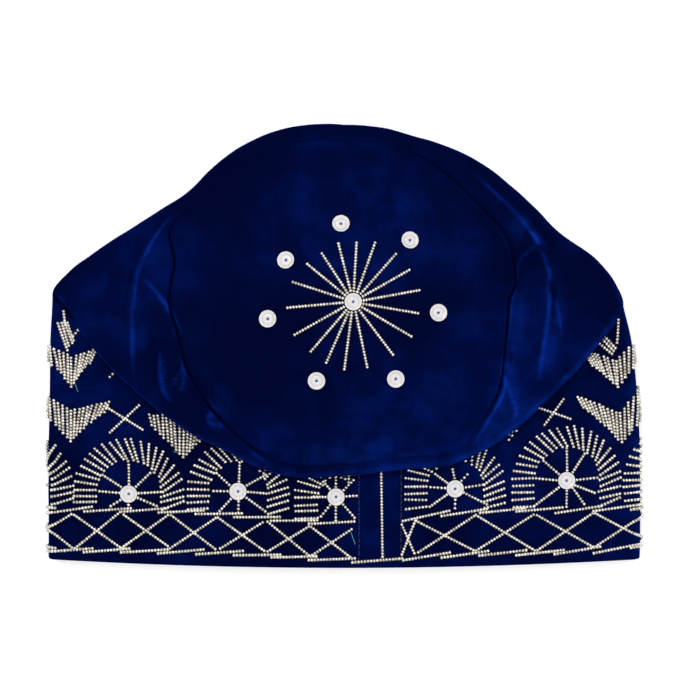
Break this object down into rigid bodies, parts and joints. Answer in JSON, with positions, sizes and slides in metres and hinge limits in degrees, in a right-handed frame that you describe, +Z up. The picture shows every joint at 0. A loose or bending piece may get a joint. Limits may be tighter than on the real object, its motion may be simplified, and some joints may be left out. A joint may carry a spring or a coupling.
{
  "type": "velvet cap",
  "caption": "Soft dark blue velvet cap lying flat, its round crown tipped forward over the open tapered wall, trimmed with white cup sequins and silver beadwork.",
  "frame": {"origin": "middle of the underside of the lying cap, on the surface it rests on", "axes": "+Z up, away from the table; the open rim faces -Y; +X to the right as seen from above"},
  "size_m": [0.291, 0.2172, 0.0271],
  "materials": {
    "velvet": "dark blue cotton velvet with a soft pile",
    "sequin_film": "white pearly plastic film"
  },
  "bodies": {
    "root": {"side_wall": "velvet", "crown_top": "velvet", "crown_sequin_middle": "sequin_film", "crown_sequin_back": "sequin_film", "crown_sequin_back_right": "sequin_film", "crown_sequin_right": "sequin_film", "crown_sequin_front_right": "sequin_film", "crown_sequin_front_left": "sequin_film", "crown_sequin_left": "sequin_film", "crown_sequin_back_left": "sequin_film", "wall_sequin_1": "sequin_film", "wall_sequin_2": "sequin_film", "wall_sequin_3": "sequin_film", "wall_sequin_4": "sequin_film", "wall_sequin_5": "sequin_film", "wall_sequin_6": "sequin_film", "wall_sequin_7": "sequin_film", "wall_sequin_8": "sequin_film", "wall_sequin_9": "sequin_film", "wall_sequin_10": "sequin_film", "wall_sequin_11": "sequin_film"}
  },
  "joints": []
}
